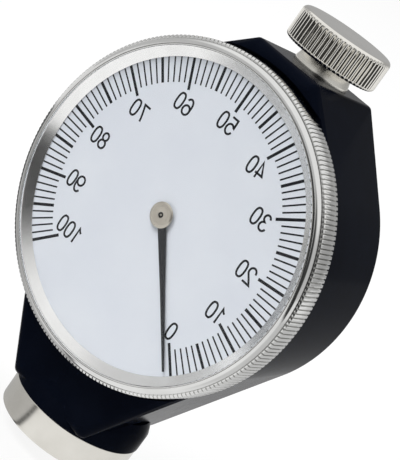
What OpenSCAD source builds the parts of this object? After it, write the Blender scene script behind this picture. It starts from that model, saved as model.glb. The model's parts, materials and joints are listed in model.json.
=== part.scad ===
// Rubber hardness tester: a hand gauge with a spring loaded indenter, a rack and two
// stages of gears, and a pointer that turns over a round dial.
// Millimetres. The spindle runs along Z, the presser foot's face is z = 0, the dial faces -Y.

/* [View] */
// Piece to draw, or all of them

/* [Dial and bezel] */
// Height of the dial's centre above the foot's face
dial_height = 45.6; // [44:0.1:52]
// Distance from the spindle's axis forward to the dial's face
dial_reach = 14.5; // [14:0.1:18]
// Outer radius of the bezel at the tips of its knurl
bezel_radius = 29.5; // [27:0.1:32]
// Width of the bezel's rim outside the lens
rim_wide = 2.4; // [2.2:0.1:3]
// Width of the bright ring between the lens's edge and the printed dial
ring_wide = 1; // [0.6:0.1:1.5]
// Number of ridges in the bezel's straight knurl
bezel_ridges = 240; // [120:10:260]
// Height of the bezel's rim in front of the dial
rim_height = 1.6; // [1.5:0.1:3]
// Thickness of the clear lens
lens_thick = 0.5; // [0.4:0.05:0.6]
// Distance from the pointer's tip to the edge of the printed dial
pointer_short = 0.9; // [0.5:0.1:6]
// Degrees that the pointer rests before the zero mark
pointer_rest = 2.6; // [0:0.1:3]

/* [Case] */
// Radius of the case's round part where it is widest
case_radius = 28.5; // [27.8:0.1:29]
// Height of the top flat above the dial's centre
top_rise = 31.7; // [30.8:0.1:33]
// Half width of the top flat
top_half = 6.9; // [6:0.1:9]
// Half width of the bottom flat
neck_half = 9; // [8:0.1:10]
// Distance from the dial's face back to the front face of the case
front_set = 2.9; // [2.6:0.1:3.2]
// Distance from the dial's face to the flat back of the case
case_depth = 26; // [25.5:0.1:28]
// Radius that rounds the front edges
edge_radius = 2; // [1:0.1:2.4]
// How far the walls lean in towards the back
wall_draft = 1.9; // [0.5:0.1:2]
// How far the top flat falls towards the back
top_draft = 0.8; // [0.3:0.1:1.5]
// Radius of the turned end that carries the foot
boss_radius = 12.5; // [12.2:0.1:12.6]

/* [Foot and knob] */
// Height of the presser foot below the case
foot_height = 5.5; // [4.5:0.1:9]
// Outer radius of the presser foot
foot_radius = 12.3; // [9:0.1:12.4]
// Radius of the hole in the foot's face
foot_hole = 1.5; // [1.25:0.05:1.75]
// Outer radius of the knob at the tips of its knurl
knob_radius = 8.7; // [8:0.1:10]
// Height of the knob
knob_height = 5.7; // [4.5:0.1:7]
// Distance of the knob's axis behind the spindle's axis
knob_set = 1.6; // [0:0.1:2]
// Number of ridges in the knob's straight knurl
knob_ridges = 60; // [40:4:80]

/* [Spindle and spring] */
// Stroke of the indenter
stroke = 2.5; // [2.5:0.04:2.54]
// Radius of the indenter's shaft
indenter_radius = 0.625; // [0.55:0.005:0.7]
// Radius of the flat at the indenter's tip
tip_radius = 0.395; // [0.35:0.005:0.4]
// Radius of the spindle
spindle_radius = 2; // [1.9:0.05:2.1]
// Mean radius of the main spring
spring_radius = 3.3; // [3.2:0.05:3.4]
// Wire diameter of the main spring
spring_wire = 0.8; // [0.6:0.05:0.8]
// Turns of the main spring
spring_turns = 6; // [5:0.5:6]

/* [Movement] */
// Degrees that the pointer turns over the whole stroke
sweep = 272.6; // [260:0.2:276]
// Teeth of the pinion on the rack
rack_pinion_teeth = 20; // [16:1:24]
// Teeth of the large wheel
wheel_teeth = 60; // [54:1:66]
// Teeth of the pinion on the pointer's arbor
pinion_teeth = 12; // [11:1:13]
// Clear room between the large wheel's teeth and the wall of its cavity
wheel_room = 1.44; // [1.2:0.02:3]
// Thickness of the two movement plates
plate_thick = 1.2; // [1:0.1:1.2]
// Turns of the flat hairspring
hair_turns = 6; // [4:1:6]
// Radial clearance of a shaft in its bearing
bearing_gap = 0.04; // [0.02:0.01:0.06]

/* [Hidden] */
$fn = 72;

black = [0.02, 0.03, 0.06];
nickel = [0.74, 0.73, 0.69];
steel = [0.62, 0.63, 0.65];
brass = [0.72, 0.58, 0.3];
white = [0.87, 0.89, 0.93];

// Small distances that several pieces share
skin = 0.01;
seat_gap = 0.05;
free_gap = 0.3;
press_gap = 0.02;
end_gap = 0.1;
screw_gap = 0.07;
sink_gap = 0.12;
tap_room = 0.4;
relief_gap = 0.6;
// How far a cut or a joined piece runs past a face
past = 1;

// Depths of the dial stack, from the front to the back
dial_y = -dial_reach;
rim_y = dial_y - rim_height;
lens_back_y = rim_y + lens_thick;
lens_radius = bezel_radius - rim_wide;
dial_radius = lens_radius - ring_wide;
dial_thick = 0.6;
dial_back_y = dial_y + dial_thick;
dial_hole_gap = 0.5;
ring_land = 0.15;
flange_thick = 0.9;
flange_back_y = dial_back_y + flange_thick;
spigot_y = flange_back_y + free_gap;
knurl_set = 0.7;
knurl_y = dial_y - knurl_set;
knurl_depth = 0.42;
rim_slope = 0.3;
seat_set = 4.1;
seat_y = dial_y + seat_set;
bezel_back_y = seat_y - free_gap;
bore_wall = 2.55;
bezel_bore = bezel_radius - bore_wall;
spigot_radius = bezel_bore - seat_gap;
wire_set = 2.65;
wire_y = dial_y + wire_set;
wire_wide = 0.7;
wire_bite = 0.65;
wire_reach = 0.4;
wire_split = 4;
wire_side_gap = 0.15;
wire_inner = spigot_radius - wire_bite;
wire_outer = bezel_bore + wire_reach;

// Case
front_y = dial_y + front_set;
back_y = dial_y + case_depth;
back_edge = 0.6;
corner_radius = 1.2;
top_lean = 0.38;
neck_lean = 0.57;
top_z = dial_height + top_rise;
boss_z = foot_height;
boss_proud = 0.4;
boss_high = 3;
boss_cone = 2.5;
boss_slope = 1;
neck_z = boss_z + boss_proud;
recess_gap = 0.4;
recess_radius = bezel_radius + recess_gap;
spigot_wall = 2.3;
pocket_radius = spigot_radius - spigot_wall;
ledge_wide = 3.1;
cavity_radius = pocket_radius - ledge_wide;
rear_radius = 22;
cavity_set = 9.3;
cavity_y = dial_y + cavity_set;
web_low = 14.6;
web_high = 14.4;
web_low_z = dial_height - web_low;
web_high_z = dial_height + web_high;

// Movement plates
plate_set = 1.9;
plate_y = dial_y + plate_set;
plate_back_y = plate_y + plate_thick;
plate_gap = 0.2;
bridge_y = cavity_y - plate_gap - plate_thick;
bridge_back_y = bridge_y + plate_thick;
bridge_room = 0.4;
arbor_radius = 0.9;
centre_radius = 0.7;

// Rack and gears: the first pinion rolls on the rack, the wheel drives the centre pinion
ratio = wheel_teeth / pinion_teeth;
rack_pitch = stroke * 360 * ratio / (sweep * rack_pinion_teeth);
rack_roll_r = rack_pitch * rack_pinion_teeth / 360 * 180 / PI;
rack_cut = 0.45;
rack_line_x = spindle_radius - rack_cut;
rack_tip = 0.27 * rack_pitch;
rack_root = 0.40 * rack_pitch;
transfer_x = rack_line_x + rack_roll_r;
mesh_gap = 0.02;
wheel_tip = 0.8;
wheel_module = (cavity_radius - wheel_room - mesh_gap)
    / (wheel_teeth + pinion_teeth / 2 + wheel_tip);
wheel_r = wheel_module * wheel_teeth / 2;
pinion_r = wheel_module * pinion_teeth / 2;
centre_distance = wheel_r + pinion_r + mesh_gap;
transfer_z = dial_height - sqrt(pow(centre_distance, 2) - pow(transfer_x, 2));
mesh_angle = atan2(dial_height - transfer_z, -transfer_x);
wheel_set = 6.2;
wheel_y = dial_y + wheel_set;
wheel_thick = 1;
wheel_root_r = wheel_r - 1.3 * wheel_module;
wheel_tip_r = wheel_r + wheel_tip * wheel_module;
wheel_rim = 1.51;
wheel_hub = 2.9;
wheel_hole_r = (wheel_root_r - wheel_rim - wheel_hub) / 2;
wheel_hole_at = wheel_hub + wheel_hole_r;
pinion_past = 0.2;
pinion_front = 1.2;
rack_pinion_half = 1.6;

// Spindle line, from the foot up
foot_edge = 0.3;
foot_spigot_r = 7;
foot_spigot_long = 6.5;
foot_spigot_z = boss_z + foot_spigot_long;
grub_radius = 1;
grub_socket = 0.45;
grub_sunk = 0.4;
grub_deep = 1.2;
grub_rise = 3.2;
grub_z = boss_z + grub_rise;
bush_radius = 3.4;
bush_rise = 1.5;
bush_stand = 2.3;
low_bush_z = boss_z + bush_rise;
low_bush_top = foot_spigot_z + bush_stand;
collar_z = low_bush_top + end_gap;
collar_thick = 1.6;
collar_gap = 0.5;
collar_top = collar_z + collar_thick;
chamber_radius = 4.4;
plug_long = 4;
plug_slot = 1;
plug_z = web_low_z - plug_long;
spindle_drop = 1;
spindle_z = boss_z - spindle_drop;
spindle_relief = 0.9;
spindle_reach = 6.5;
spindle_top = web_high_z + spindle_reach;
indenter_root = 3;
high_bush_drop = 0.2;
high_bush_long = 5.8;
high_bush_z = web_high_z - high_bush_drop;
high_bush_top = web_high_z + high_bush_long;
relief_room = 1;
relief_top = spindle_top + stroke + relief_room;
stud_floor = 1.5;
stud_room = 0.2;
stud_z = relief_top + stud_floor;
pin_drop = 10;
pin_z = web_high_z - pin_drop;
pin_radius = 0.75;
pin_start = 0.5;
pin_bite = 2.8;
fork_half = 0.8;
fork_wide = 6;
fork_set = 5.2;
fork_below = 4;
fork_high = 11;

// Knob
knob_lift = 2.1;
knob_z = top_z + knob_lift;
knob_knurl = 0.35;
knob_roof = 1.3;
crown_high = 0.5;
crown_wide = 0.6;
collar_step = 3.5;
collar_radius = knob_radius - collar_step;
seat_share = 0.9;
knob_seat_z = top_z - seat_share * top_draft;
knob_top = knob_z + knob_height;
stud_radius = 2.9;

// Main spring between its two seats, and the clear gap from turn to turn
spring_low = collar_top + seat_gap + spring_wire / 2;
spring_high = plug_z - seat_gap - spring_wire / 2;
spring_pitch = (spring_high - spring_low) / spring_turns;
spring_clear = spring_pitch - spring_wire;
echo(main_spring_gap_mm = spring_clear);

// Hairspring
collet_radius = 1.5;
hair_outer = 6;
hair_strip = 0.15;
hair_set = 3.7;
hair_y = dial_y + hair_set;
hair_wide = 0.8;
hair_stud_wide = 1.4;
hair_stud_high = 1.6;
hair_pitch = (hair_outer - collet_radius) / hair_turns;
echo(hairspring_gap_mm = hair_pitch - hair_strip);

// Places of repeated fasteners, as x and z
pillar_radius = 1.1;
pillar_side = 10;
pillar_rise = 9.4;
pillar_fall = 1.6;
pillar_dip = 0.4;
pillar_gap = 0.36;
pillar_right = transfer_x + wheel_tip_r + pillar_radius + pillar_gap;
pillar_places = [[-pillar_side, transfer_z - pillar_fall],
    [-pillar_side, dial_height + pillar_rise], [pillar_side, dial_height + pillar_rise],
    [pillar_right, transfer_z - pillar_dip]];
bridge_edge = 2;
bridge_screw_head = 1.3;
bridge_screw_high = 0.8;
bridge_screw_shank = 0.6;
bridge_screw_long = 2.5;
bridge_slot_wide = 0.4;
bridge_slot_deep = 0.35;
plate_screw_head = 1.3;
plate_screw_shank = 0.8;
plate_screw_sink = 0.75;
plate_screw_long = 5;
plate_screw_set = 1.65;
plate_screw_r = pocket_radius - plate_screw_set;
plate_screw_places = [for (a = [90, 210, 330])
    [plate_screw_r * cos(a), dial_height + plate_screw_r * sin(a)]];
cover_radius = 24.8;
cover_thick = 1.2;
cover_screw_set = 1.8;
cover_screw_head = 2;
cover_screw_shank = 1;
cover_screw_sink = 1;
cover_screw_long = 6;
cover_screw_r = cover_radius - cover_screw_set;
cover_screw_places = [for (a = [45, 135, 225, 315])
    [cover_screw_r * cos(a), dial_height + cover_screw_r * sin(a)]];

// Pointer: angle seen from the front, from +X round to +Z
zero_angle = 90 - sweep / 2;
pointer_angle = zero_angle - pointer_rest;
pointer_length = dial_radius - pointer_short;
hub_radius = 2.2;
hub_rise = 0.8;
hub_edge = 0.12;
hub_roof = 0.28;
dimple_radius = 0.5;
dimple_deep = 0.16;
hub_y = dial_y - hub_rise;
needle_rise = 0.55;
needle_y = dial_y - needle_rise;
needle_thick = 0.25;
needle_eye = 1.8;
needle_root = 0.85;
needle_waist = 0.42;
needle_waist_r = 0.48 * pointer_length;
needle_tip = 0.16;
sleeve_radius = 1.1;

// Cylinder along Y between two depths
module y_disc(r, y0, y1, x, z) {
    translate([x, y1, z])
        rotate([90, 0, 0])
            cylinder(r = r, h = y1 - y0);
}

// Cone along Y between two depths
module y_cone(r0, r1, y0, y1, x, z) {
    translate([x, y0, z])
        rotate([-90, 0, 0])
            cylinder(r1 = r0, r2 = r1, h = y1 - y0);
}

// Flat shape in x and z, extruded along Y between two depths
module y_plate(points, y0, y1, x, z) {
    translate([x, y1, z])
        rotate([90, 0, 0])
            linear_extrude(height = y1 - y0)
                polygon(points);
}

// Cylinder along Z between two heights, on the spindle's axis or set back from it
module z_rod(r, z0, z1, y = 0) {
    translate([0, y, z0])
        cylinder(r = r, h = z1 - z0);
}

// Countersunk screw along Y, its head flush with the depth y0, pointing back or forward
module sunk_screw(x, y0, z, head, shank, deep, long, way) {
    translate([x, y0, z])
        rotate([way > 0 ? -90 : 90, 0, 0])
            union() {
                cylinder(r1 = head, r2 = shank, h = deep);
                cylinder(r = shank, h = long);
            }
}

// Outline of a straight knurl: ridges and grooves in turn
function knurl_ring(n, tip, root) = [for (i = [0 : 2 * n - 1])
    let (r = i % 2 == 0 ? tip : root, a = i * 180 / n)
    [r * cos(a), r * sin(a)]];

// Outline of a toothed wheel: half widths are parts of the pitch
function tooth_ring(n, root, tip, root_half, tip_half, turn) = [for (i = [0 : n - 1])
    for (p = [[root, -root_half], [tip, -tip_half], [tip, tip_half], [root, root_half]])
    let (a = turn + (i + p[1]) * 360 / n)
    [p[0] * cos(a), p[0] * sin(a)]];

// One flat section of the case: the round part and the four corners, drawn in by an inset
module case_layer(y0, inset, top_inset) {
    y_disc(case_radius - inset, y0, y0 + skin, 0, dial_height);
    for (s = [-1, 1]) {
        y_disc(corner_radius, y0, y0 + skin,
            s * (top_half - top_lean * (top_inset + corner_radius)),
            top_z - top_inset - corner_radius);
        y_disc(corner_radius, y0, y0 + skin,
            s * (neck_half - neck_lean * (inset + corner_radius)), neck_z + inset + corner_radius);
    }
}

// The case's outside before it is hollowed
module case_blank() {
    hull() {
        for (t = [0, 30, 60, 90])
            case_layer(front_y + edge_radius * (1 - cos(t)), edge_radius * (1 - sin(t)),
                edge_radius * (1 - sin(t)), $fn = 48);
        case_layer(back_y - back_edge, wall_draft, top_draft, $fn = 48);
        case_layer(back_y - skin, wall_draft + back_edge, top_draft + back_edge, $fn = 48);
    }
    z_rod(boss_radius, boss_z, boss_z + boss_high);
    translate([0, 0, boss_z + boss_high])
        cylinder(r1 = boss_radius, r2 = boss_radius - boss_slope, h = boss_cone);
}

module case() {
    half = rear_radius + past;
    color(black)
    difference() {
        union() {
            difference() {
                case_blank();
                y_disc(recess_radius, front_y - past, seat_y, 0, dial_height);
            }
            y_disc(spigot_radius, spigot_y, seat_y + past, 0, dial_height);
        }
        y_disc(pocket_radius, spigot_y - past, plate_back_y, 0, dial_height);
        y_disc(cavity_radius, plate_back_y - past, cavity_y, 0, dial_height);
        intersection() {
            y_disc(rear_radius, cavity_y - past, back_y + past, 0, dial_height);
            translate([-half, cavity_y - 2 * past, web_low_z])
                cube([2 * half, back_y - cavity_y + 4 * past, web_high_z - web_low_z]);
        }
        difference() {
            y_disc(spigot_radius + past, wire_y - wire_wide / 2 - press_gap,
                wire_y + wire_wide / 2 + press_gap, 0, dial_height);
            y_disc(wire_inner - seat_gap, wire_y - 2 * past, wire_y + 2 * past, 0, dial_height);
        }
        z_rod(foot_spigot_r + press_gap, boss_z - past, foot_spigot_z);
        z_rod(chamber_radius, foot_spigot_z - past, web_low_z + past);
        z_rod(bush_radius + press_gap, web_high_z - past, high_bush_top);
        z_rod(spindle_radius + relief_gap, high_bush_top - past, relief_top);
        z_rod(stud_radius + press_gap, stud_z, top_z + past, knob_set);
        z_rod(collar_radius + seat_gap, knob_seat_z, top_z + past, knob_set);
        y_disc(grub_radius + press_gap, foot_spigot_r - past, boss_radius + past, 0, grub_z);
        for (p = plate_screw_places)
            y_disc(plate_screw_shank + press_gap, plate_back_y - past,
                plate_y + plate_screw_long + tap_room, p[0], p[1]);
        for (p = cover_screw_places)
            y_disc(cover_screw_shank + press_gap,
                back_y + cover_thick - cover_screw_long - tap_room, back_y + past, p[0], p[1]);
    }
}

module back_cover() {
    color(black)
    difference() {
        y_disc(cover_radius, back_y, back_y + cover_thick, 0, dial_height);
        for (p = cover_screw_places)
            sunk_screw(p[0], back_y + cover_thick, p[1], cover_screw_head + sink_gap,
                cover_screw_shank + end_gap, cover_screw_sink + press_gap, cover_thick + past, -1);
    }
}

module back_cover_screws() {
    color(steel)
    for (p = cover_screw_places)
        sunk_screw(p[0], back_y + cover_thick, p[1], cover_screw_head, cover_screw_shank,
            cover_screw_sink, cover_screw_long, -1);
}

module knob_collar() {
    color(nickel)
    difference() {
        z_rod(collar_radius, knob_seat_z, knob_z - free_gap, knob_set);
        z_rod(stud_radius + press_gap, knob_seat_z - past, knob_z, knob_set);
    }
}

module knob_stud() {
    color(steel)
    z_rod(stud_radius, stud_z + stud_room, knob_top - knob_roof - free_gap, knob_set);
}

module knob() {
    r = knob_radius;
    w = crown_wide;
    h = crown_high;
    color(nickel)
    difference() {
        union() {
            translate([0, knob_set, knob_z])
                linear_extrude(height = knob_height - h)
                    polygon(knurl_ring(knob_ridges, r, r - knob_knurl));
            translate([0, knob_set, knob_top - h])
                rotate_extrude()
                    polygon([[0, 0], [r - 0.17 * w, 0], [r - 0.25 * w, 0.45 * h],
                        [r - 0.54 * w, 0.8 * h], [r - w, h], [0, h]]);
        }
        z_rod(stud_radius + seat_gap, knob_z - past, knob_top - knob_roof, knob_set);
    }
}

module presser_foot() {
    r = foot_radius;
    color(nickel)
    difference() {
        union() {
            rotate_extrude()
                polygon([[0, 0], [r, 0], [r, boss_z - foot_edge], [r - foot_edge, boss_z],
                    [0, boss_z]]);
            z_rod(foot_spigot_r, boss_z - past, foot_spigot_z - end_gap);
        }
        z_rod(foot_hole, -past, spindle_z);
        z_rod(spindle_radius + relief_gap, spindle_z - spindle_relief, low_bush_z);
        z_rod(bush_radius + press_gap, low_bush_z - end_gap, foot_spigot_z + past);
    }
}

module foot_grub_screw() {
    color(steel)
    difference() {
        y_disc(grub_radius, foot_spigot_r + seat_gap, boss_radius - grub_sunk, 0, grub_z);
        y_disc(grub_socket, boss_radius - grub_sunk - grub_deep, boss_radius, 0, grub_z);
    }
}

module guide_bush(z0, z1) {
    color(brass)
    difference() {
        z_rod(bush_radius, z0, z1);
        z_rod(spindle_radius + bearing_gap, z0 - past, z1 + past);
    }
}

module lower_guide_bush() {
    guide_bush(low_bush_z, low_bush_top);
}

module upper_guide_bush() {
    guide_bush(high_bush_z, high_bush_top);
}

module spring_adjusting_plug() {
    color(brass)
    difference() {
        z_rod(chamber_radius - press_gap, plug_z, web_low_z);
        z_rod(spindle_radius + free_gap, plug_z - past, web_low_z + past);
        translate([-chamber_radius, -plug_slot / 2, web_low_z - plug_slot])
            cube([2 * chamber_radius, plug_slot, plug_slot + past]);
    }
}

// The spring is one round wire along a helix: rings of points joined by triangles
module main_spring() {
    sides = 8;
    steps = 20 * spring_turns;
    lean = atan(spring_pitch / (2 * PI * spring_radius));
    wire = [for (i = [0 : steps]) for (j = [0 : sides - 1])
        let (a = i * 360 * spring_turns / steps, b = j * 360 / sides)
        let (out = spring_wire / 2 * cos(b), up = spring_wire / 2 * sin(b))
        [(spring_radius + out) * cos(a) + up * sin(lean) * sin(a),
         (spring_radius + out) * sin(a) - up * sin(lean) * cos(a),
         spring_low + (spring_high - spring_low) * i / steps + up * cos(lean)]];
    walls = [for (i = [0 : steps - 1]) for (j = [0 : sides - 1])
        let (k = (j + 1) % sides, p = i * sides, q = p + sides)
        for (f = [[p + j, p + k, q + k], [p + j, q + k, q + j]]) f];
    ends = [[for (j = [sides - 1 : -1 : 0]) j],
        [for (j = [0 : sides - 1]) steps * sides + j]];
    color(steel)
    polyhedron(points = wire, faces = concat(walls, ends), convexity = 10);
}

// Spindle with the rack cut into its +X side, a gap of the rack facing the pinion at rest
module spindle() {
    gaps = 5;
    half = (gaps + 0.5) * rack_pitch;
    side = spindle_radius + past;
    color(steel)
    difference() {
        z_rod(spindle_radius, spindle_z, spindle_top);
        translate([rack_line_x + rack_tip, -side, transfer_z - half])
            cube([side, 2 * side, 2 * half]);
        for (i = [-gaps : gaps])
            translate([0, side, transfer_z + i * rack_pitch])
                rotate([90, 0, 0])
                    linear_extrude(height = 2 * side)
                        polygon([[rack_line_x - rack_root, -0.2 * rack_pitch],
                            [rack_line_x + rack_tip + end_gap, -0.395 * rack_pitch],
                            [rack_line_x + rack_tip + end_gap, 0.395 * rack_pitch],
                            [rack_line_x - rack_root, 0.2 * rack_pitch]]);
        z_rod(indenter_radius + press_gap, spindle_z - past, spindle_z + indenter_root);
        y_disc(pin_radius + press_gap, pin_start - end_gap, side, 0, pin_z);
    }
}

module spring_collar() {
    color(steel)
    difference() {
        z_rod(chamber_radius - collar_gap, collar_z, collar_top);
        z_rod(spindle_radius + press_gap, collar_z - past, collar_top + past);
    }
}

module indenter() {
    cone = (indenter_radius - tip_radius) / tan(17.5);
    color(steel)
    rotate_extrude()
        polygon([[0, -stroke], [tip_radius, -stroke], [indenter_radius, cone - stroke],
            [indenter_radius, spindle_z + indenter_root - end_gap],
            [0, spindle_z + indenter_root - end_gap]]);
}

module guide_pin() {
    color(steel)
    y_disc(pin_radius, pin_start, fork_set + pin_bite, 0, pin_z);
}

module guide_fork() {
    color(brass)
    difference() {
        translate([-fork_wide / 2, fork_set, pin_z - fork_below])
            cube([fork_wide, back_y - fork_set, fork_high]);
        translate([-fork_half, fork_set - past, pin_z - fork_below - past])
            cube([2 * fork_half, pin_bite + 2 * past, fork_high + 2 * past]);
    }
}

module front_plate() {
    color(brass)
    difference() {
        y_disc(pocket_radius - plate_gap, plate_y, plate_back_y, 0, dial_height);
        y_disc(centre_radius + bearing_gap, plate_y - past, plate_back_y + past, 0, dial_height);
        y_disc(arbor_radius + bearing_gap, plate_y - past, plate_back_y + past,
            transfer_x, transfer_z);
        for (p = plate_screw_places)
            sunk_screw(p[0], plate_y, p[1], plate_screw_head + screw_gap,
                plate_screw_shank + screw_gap, plate_screw_sink + press_gap, plate_thick + past, 1);
    }
}

module front_plate_screws() {
    color(steel)
    for (p = plate_screw_places)
        sunk_screw(p[0], plate_y, p[1], plate_screw_head, plate_screw_shank, plate_screw_sink,
            plate_screw_long, 1);
}

module bridge_plate() {
    side = pillar_side + bridge_edge;
    low = transfer_z - pillar_fall - bridge_edge;
    high = dial_height + pillar_rise + bridge_edge;
    right = pillar_right + bridge_edge;
    tail = transfer_z - pillar_dip;
    color(brass)
    difference() {
        intersection() {
            y_plate([[-side, low], [right, tail - bridge_edge], [right, tail + bridge_edge],
                [side, high], [-side, high]], bridge_y, bridge_back_y, 0, 0);
            y_disc(cavity_radius - bridge_room, bridge_y - past, bridge_back_y + past,
                0, dial_height);
        }
        y_disc(centre_radius + bearing_gap, bridge_y - past, bridge_back_y + past,
            0, dial_height);
        y_disc(arbor_radius + bearing_gap, bridge_y - past, bridge_back_y + past,
            transfer_x, transfer_z);
        for (p = pillar_places)
            y_disc(bridge_screw_shank + end_gap, bridge_y - past, bridge_back_y + past,
                p[0], p[1]);
    }
}

module pillars() {
    color(brass)
    for (p = pillar_places)
        difference() {
            y_disc(pillar_radius, plate_back_y, bridge_y, p[0], p[1]);
            y_disc(bridge_screw_shank + press_gap, bridge_y - bridge_screw_long - end_gap,
                bridge_y + past, p[0], p[1]);
        }
}

module bridge_screws() {
    top = bridge_back_y + bridge_screw_high;
    color(steel)
    for (p = pillar_places)
        union() {
            y_disc(bridge_screw_shank, bridge_y - bridge_screw_long, bridge_back_y + end_gap,
                p[0], p[1]);
            difference() {
                y_disc(bridge_screw_head, bridge_back_y, top, p[0], p[1]);
                translate([p[0] - 2 * bridge_screw_head, top - bridge_slot_deep,
                    p[1] - bridge_slot_wide / 2])
                    cube([4 * bridge_screw_head, past, bridge_slot_wide]);
            }
        }
}

module transfer_arbor() {
    color(steel)
    y_disc(arbor_radius, plate_y + end_gap, rack_pinion_half + pinion_past,
        transfer_x, transfer_z);
}

module rack_pinion() {
    color(steel)
    difference() {
        y_plate(tooth_ring(rack_pinion_teeth, rack_roll_r - rack_root, rack_roll_r + rack_tip,
            0.29, 0.11, 180), -rack_pinion_half, rack_pinion_half, transfer_x, transfer_z);
        y_disc(arbor_radius + press_gap, -rack_pinion_half - past, rack_pinion_half + past,
            transfer_x, transfer_z);
    }
}

module transfer_wheel() {
    turn = mesh_angle + 180 / wheel_teeth;
    color(brass)
    difference() {
        y_plate(tooth_ring(wheel_teeth, wheel_root_r, wheel_tip_r, 0.29, 0.11, turn),
            wheel_y, wheel_y + wheel_thick, transfer_x, transfer_z);
        y_disc(arbor_radius + press_gap, wheel_y - past, wheel_y + wheel_thick + past,
            transfer_x, transfer_z);
        for (a = [0 : 90 : 270])
            y_disc(wheel_hole_r, wheel_y - past, wheel_y + wheel_thick + past,
                transfer_x + wheel_hole_at * cos(a), transfer_z + wheel_hole_at * sin(a));
    }
}

module centre_arbor() {
    color(steel)
    y_disc(centre_radius, hub_y + hub_roof + press_gap, bridge_back_y - seat_gap, 0, dial_height);
}

module centre_pinion() {
    color(steel)
    difference() {
        y_plate(tooth_ring(pinion_teeth, pinion_r - 1.2 * wheel_module,
            pinion_r + wheel_tip * wheel_module, 0.27, 0.1, mesh_angle + 180),
            wheel_y - pinion_front, wheel_y + wheel_thick + pinion_past, 0, dial_height);
        y_disc(centre_radius + press_gap, wheel_y - pinion_front - past,
            wheel_y + wheel_thick + pinion_past + past, 0, dial_height);
    }
}

module hairspring_collet() {
    color(brass)
    difference() {
        y_disc(collet_radius - end_gap, hair_y - end_gap, hair_y + hair_wide + end_gap,
            0, dial_height);
        y_disc(centre_radius + press_gap, hair_y - past, hair_y + hair_wide + past,
            0, dial_height);
    }
}

// Flat strip along a spiral, drawn as two edges and extruded
module hairspring() {
    steps = 28 * hair_turns;
    edge = [for (side = [-1, 1]) [for (i = [0 : steps])
        let (a = i * 360 * hair_turns / steps)
        let (r = collet_radius + (hair_outer - collet_radius) * i / steps + side * hair_strip / 2)
        [r * cos(a), r * sin(a)]]];
    color(steel)
    y_plate(concat(edge[0], [for (i = [steps : -1 : 0]) edge[1][i]]),
        hair_y, hair_y + hair_wide, 0, dial_height);
}

module hairspring_stud() {
    color(brass)
    translate([hair_outer + hair_strip, plate_back_y, dial_height - hair_stud_high / 2])
        cube([hair_stud_wide, hair_y + hair_wide - plate_back_y, hair_stud_high]);
}

module bezel() {
    color(nickel)
    difference() {
        union() {
            y_plate(knurl_ring(bezel_ridges, bezel_radius, bezel_radius - knurl_depth),
                knurl_y, bezel_back_y, 0, dial_height);
            y_cone(bezel_radius - 2 * rim_slope, bezel_radius - rim_slope, rim_y,
                knurl_y + end_gap, 0, dial_height);
        }
        y_disc(lens_radius + seat_gap, rim_y - past, dial_back_y + seat_gap, 0, dial_height);
        y_disc(dial_radius - free_gap, dial_back_y - past, flange_back_y + past, 0, dial_height);
        y_disc(bezel_bore, flange_back_y, bezel_back_y + past, 0, dial_height);
        y_disc(wire_outer + free_gap, wire_y - wire_wide / 2 - wire_side_gap,
            wire_y + wire_wide / 2 + wire_side_gap, 0, dial_height);
    }
}

module bezel_wire() {
    color(steel)
    difference() {
        y_disc(wire_outer, wire_y - wire_wide / 2, wire_y + wire_wide / 2, 0, dial_height);
        y_disc(wire_inner, wire_y - past, wire_y + past, 0, dial_height);
        translate([-wire_split / 2, wire_y - past, dial_height - wire_outer - past])
            cube([wire_split, 2 * past, wire_outer]);
    }
}

module dial() {
    color(white)
    difference() {
        y_disc(lens_radius - end_gap, dial_y, dial_back_y, 0, dial_height);
        y_disc(sleeve_radius + dial_hole_gap, dial_y - past, dial_back_y + past, 0, dial_height);
    }
}

module dial_ring() {
    deep = dial_y - lens_back_y;
    color(nickel)
    translate([0, dial_y, dial_height])
        rotate([90, 0, 0])
            rotate_extrude()
                polygon([[dial_radius, 0], [lens_radius, 0], [lens_radius, deep],
                    [lens_radius - ring_land, deep], [dial_radius, end_gap]]);
}

module lens() {
    color([0.9, 0.95, 1, 0.25])
    y_disc(lens_radius, rim_y, lens_back_y, 0, dial_height);
}

module pointer() {
    color(black)
    difference() {
        translate([0, needle_y + needle_thick, dial_height])
            rotate([90, 0, 0])
                linear_extrude(height = needle_thick)
                    union() {
                        circle(r = needle_eye);
                        rotate(pointer_angle)
                            polygon([[0, -needle_root], [needle_waist_r, -needle_waist],
                                [pointer_length, -needle_tip], [pointer_length, needle_tip],
                                [needle_waist_r, needle_waist], [0, needle_root]]);
                    }
        y_disc(sleeve_radius + press_gap, needle_y - past, needle_y + needle_thick + past,
            0, dial_height);
    }
}

module pointer_hub() {
    color(nickel)
    difference() {
        union() {
            y_cone(hub_radius - hub_edge, hub_radius, hub_y, hub_y + hub_edge, 0, dial_height);
            y_disc(hub_radius, hub_y + hub_edge, needle_y, 0, dial_height);
            y_disc(sleeve_radius, needle_y - end_gap, dial_y + end_gap, 0, dial_height);
        }
        y_disc(centre_radius + press_gap, hub_y + hub_roof, dial_y + past, 0, dial_height);
        y_disc(dimple_radius, hub_y - past, hub_y + dimple_deep, 0, dial_height);
    }
}

case();
back_cover();
back_cover_screws();
knob_collar();
knob_stud();
knob();
presser_foot();
foot_grub_screw();
lower_guide_bush();
upper_guide_bush();
spring_adjusting_plug();
main_spring();
spindle();
spring_collar();
indenter();
guide_pin();
guide_fork();
front_plate();
front_plate_screws();
bridge_plate();
pillars();
bridge_screws();
transfer_arbor();
rack_pinion();
transfer_wheel();
centre_arbor();
centre_pinion();
hairspring_collet();
hairspring();
hairspring_stud();
bezel();
bezel_wire();
dial();
dial_ring();
lens();
pointer();
pointer_hub();
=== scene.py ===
import json
import math

import bmesh
import bpy
import numpy as np
from mathutils import Matrix, Vector


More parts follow.
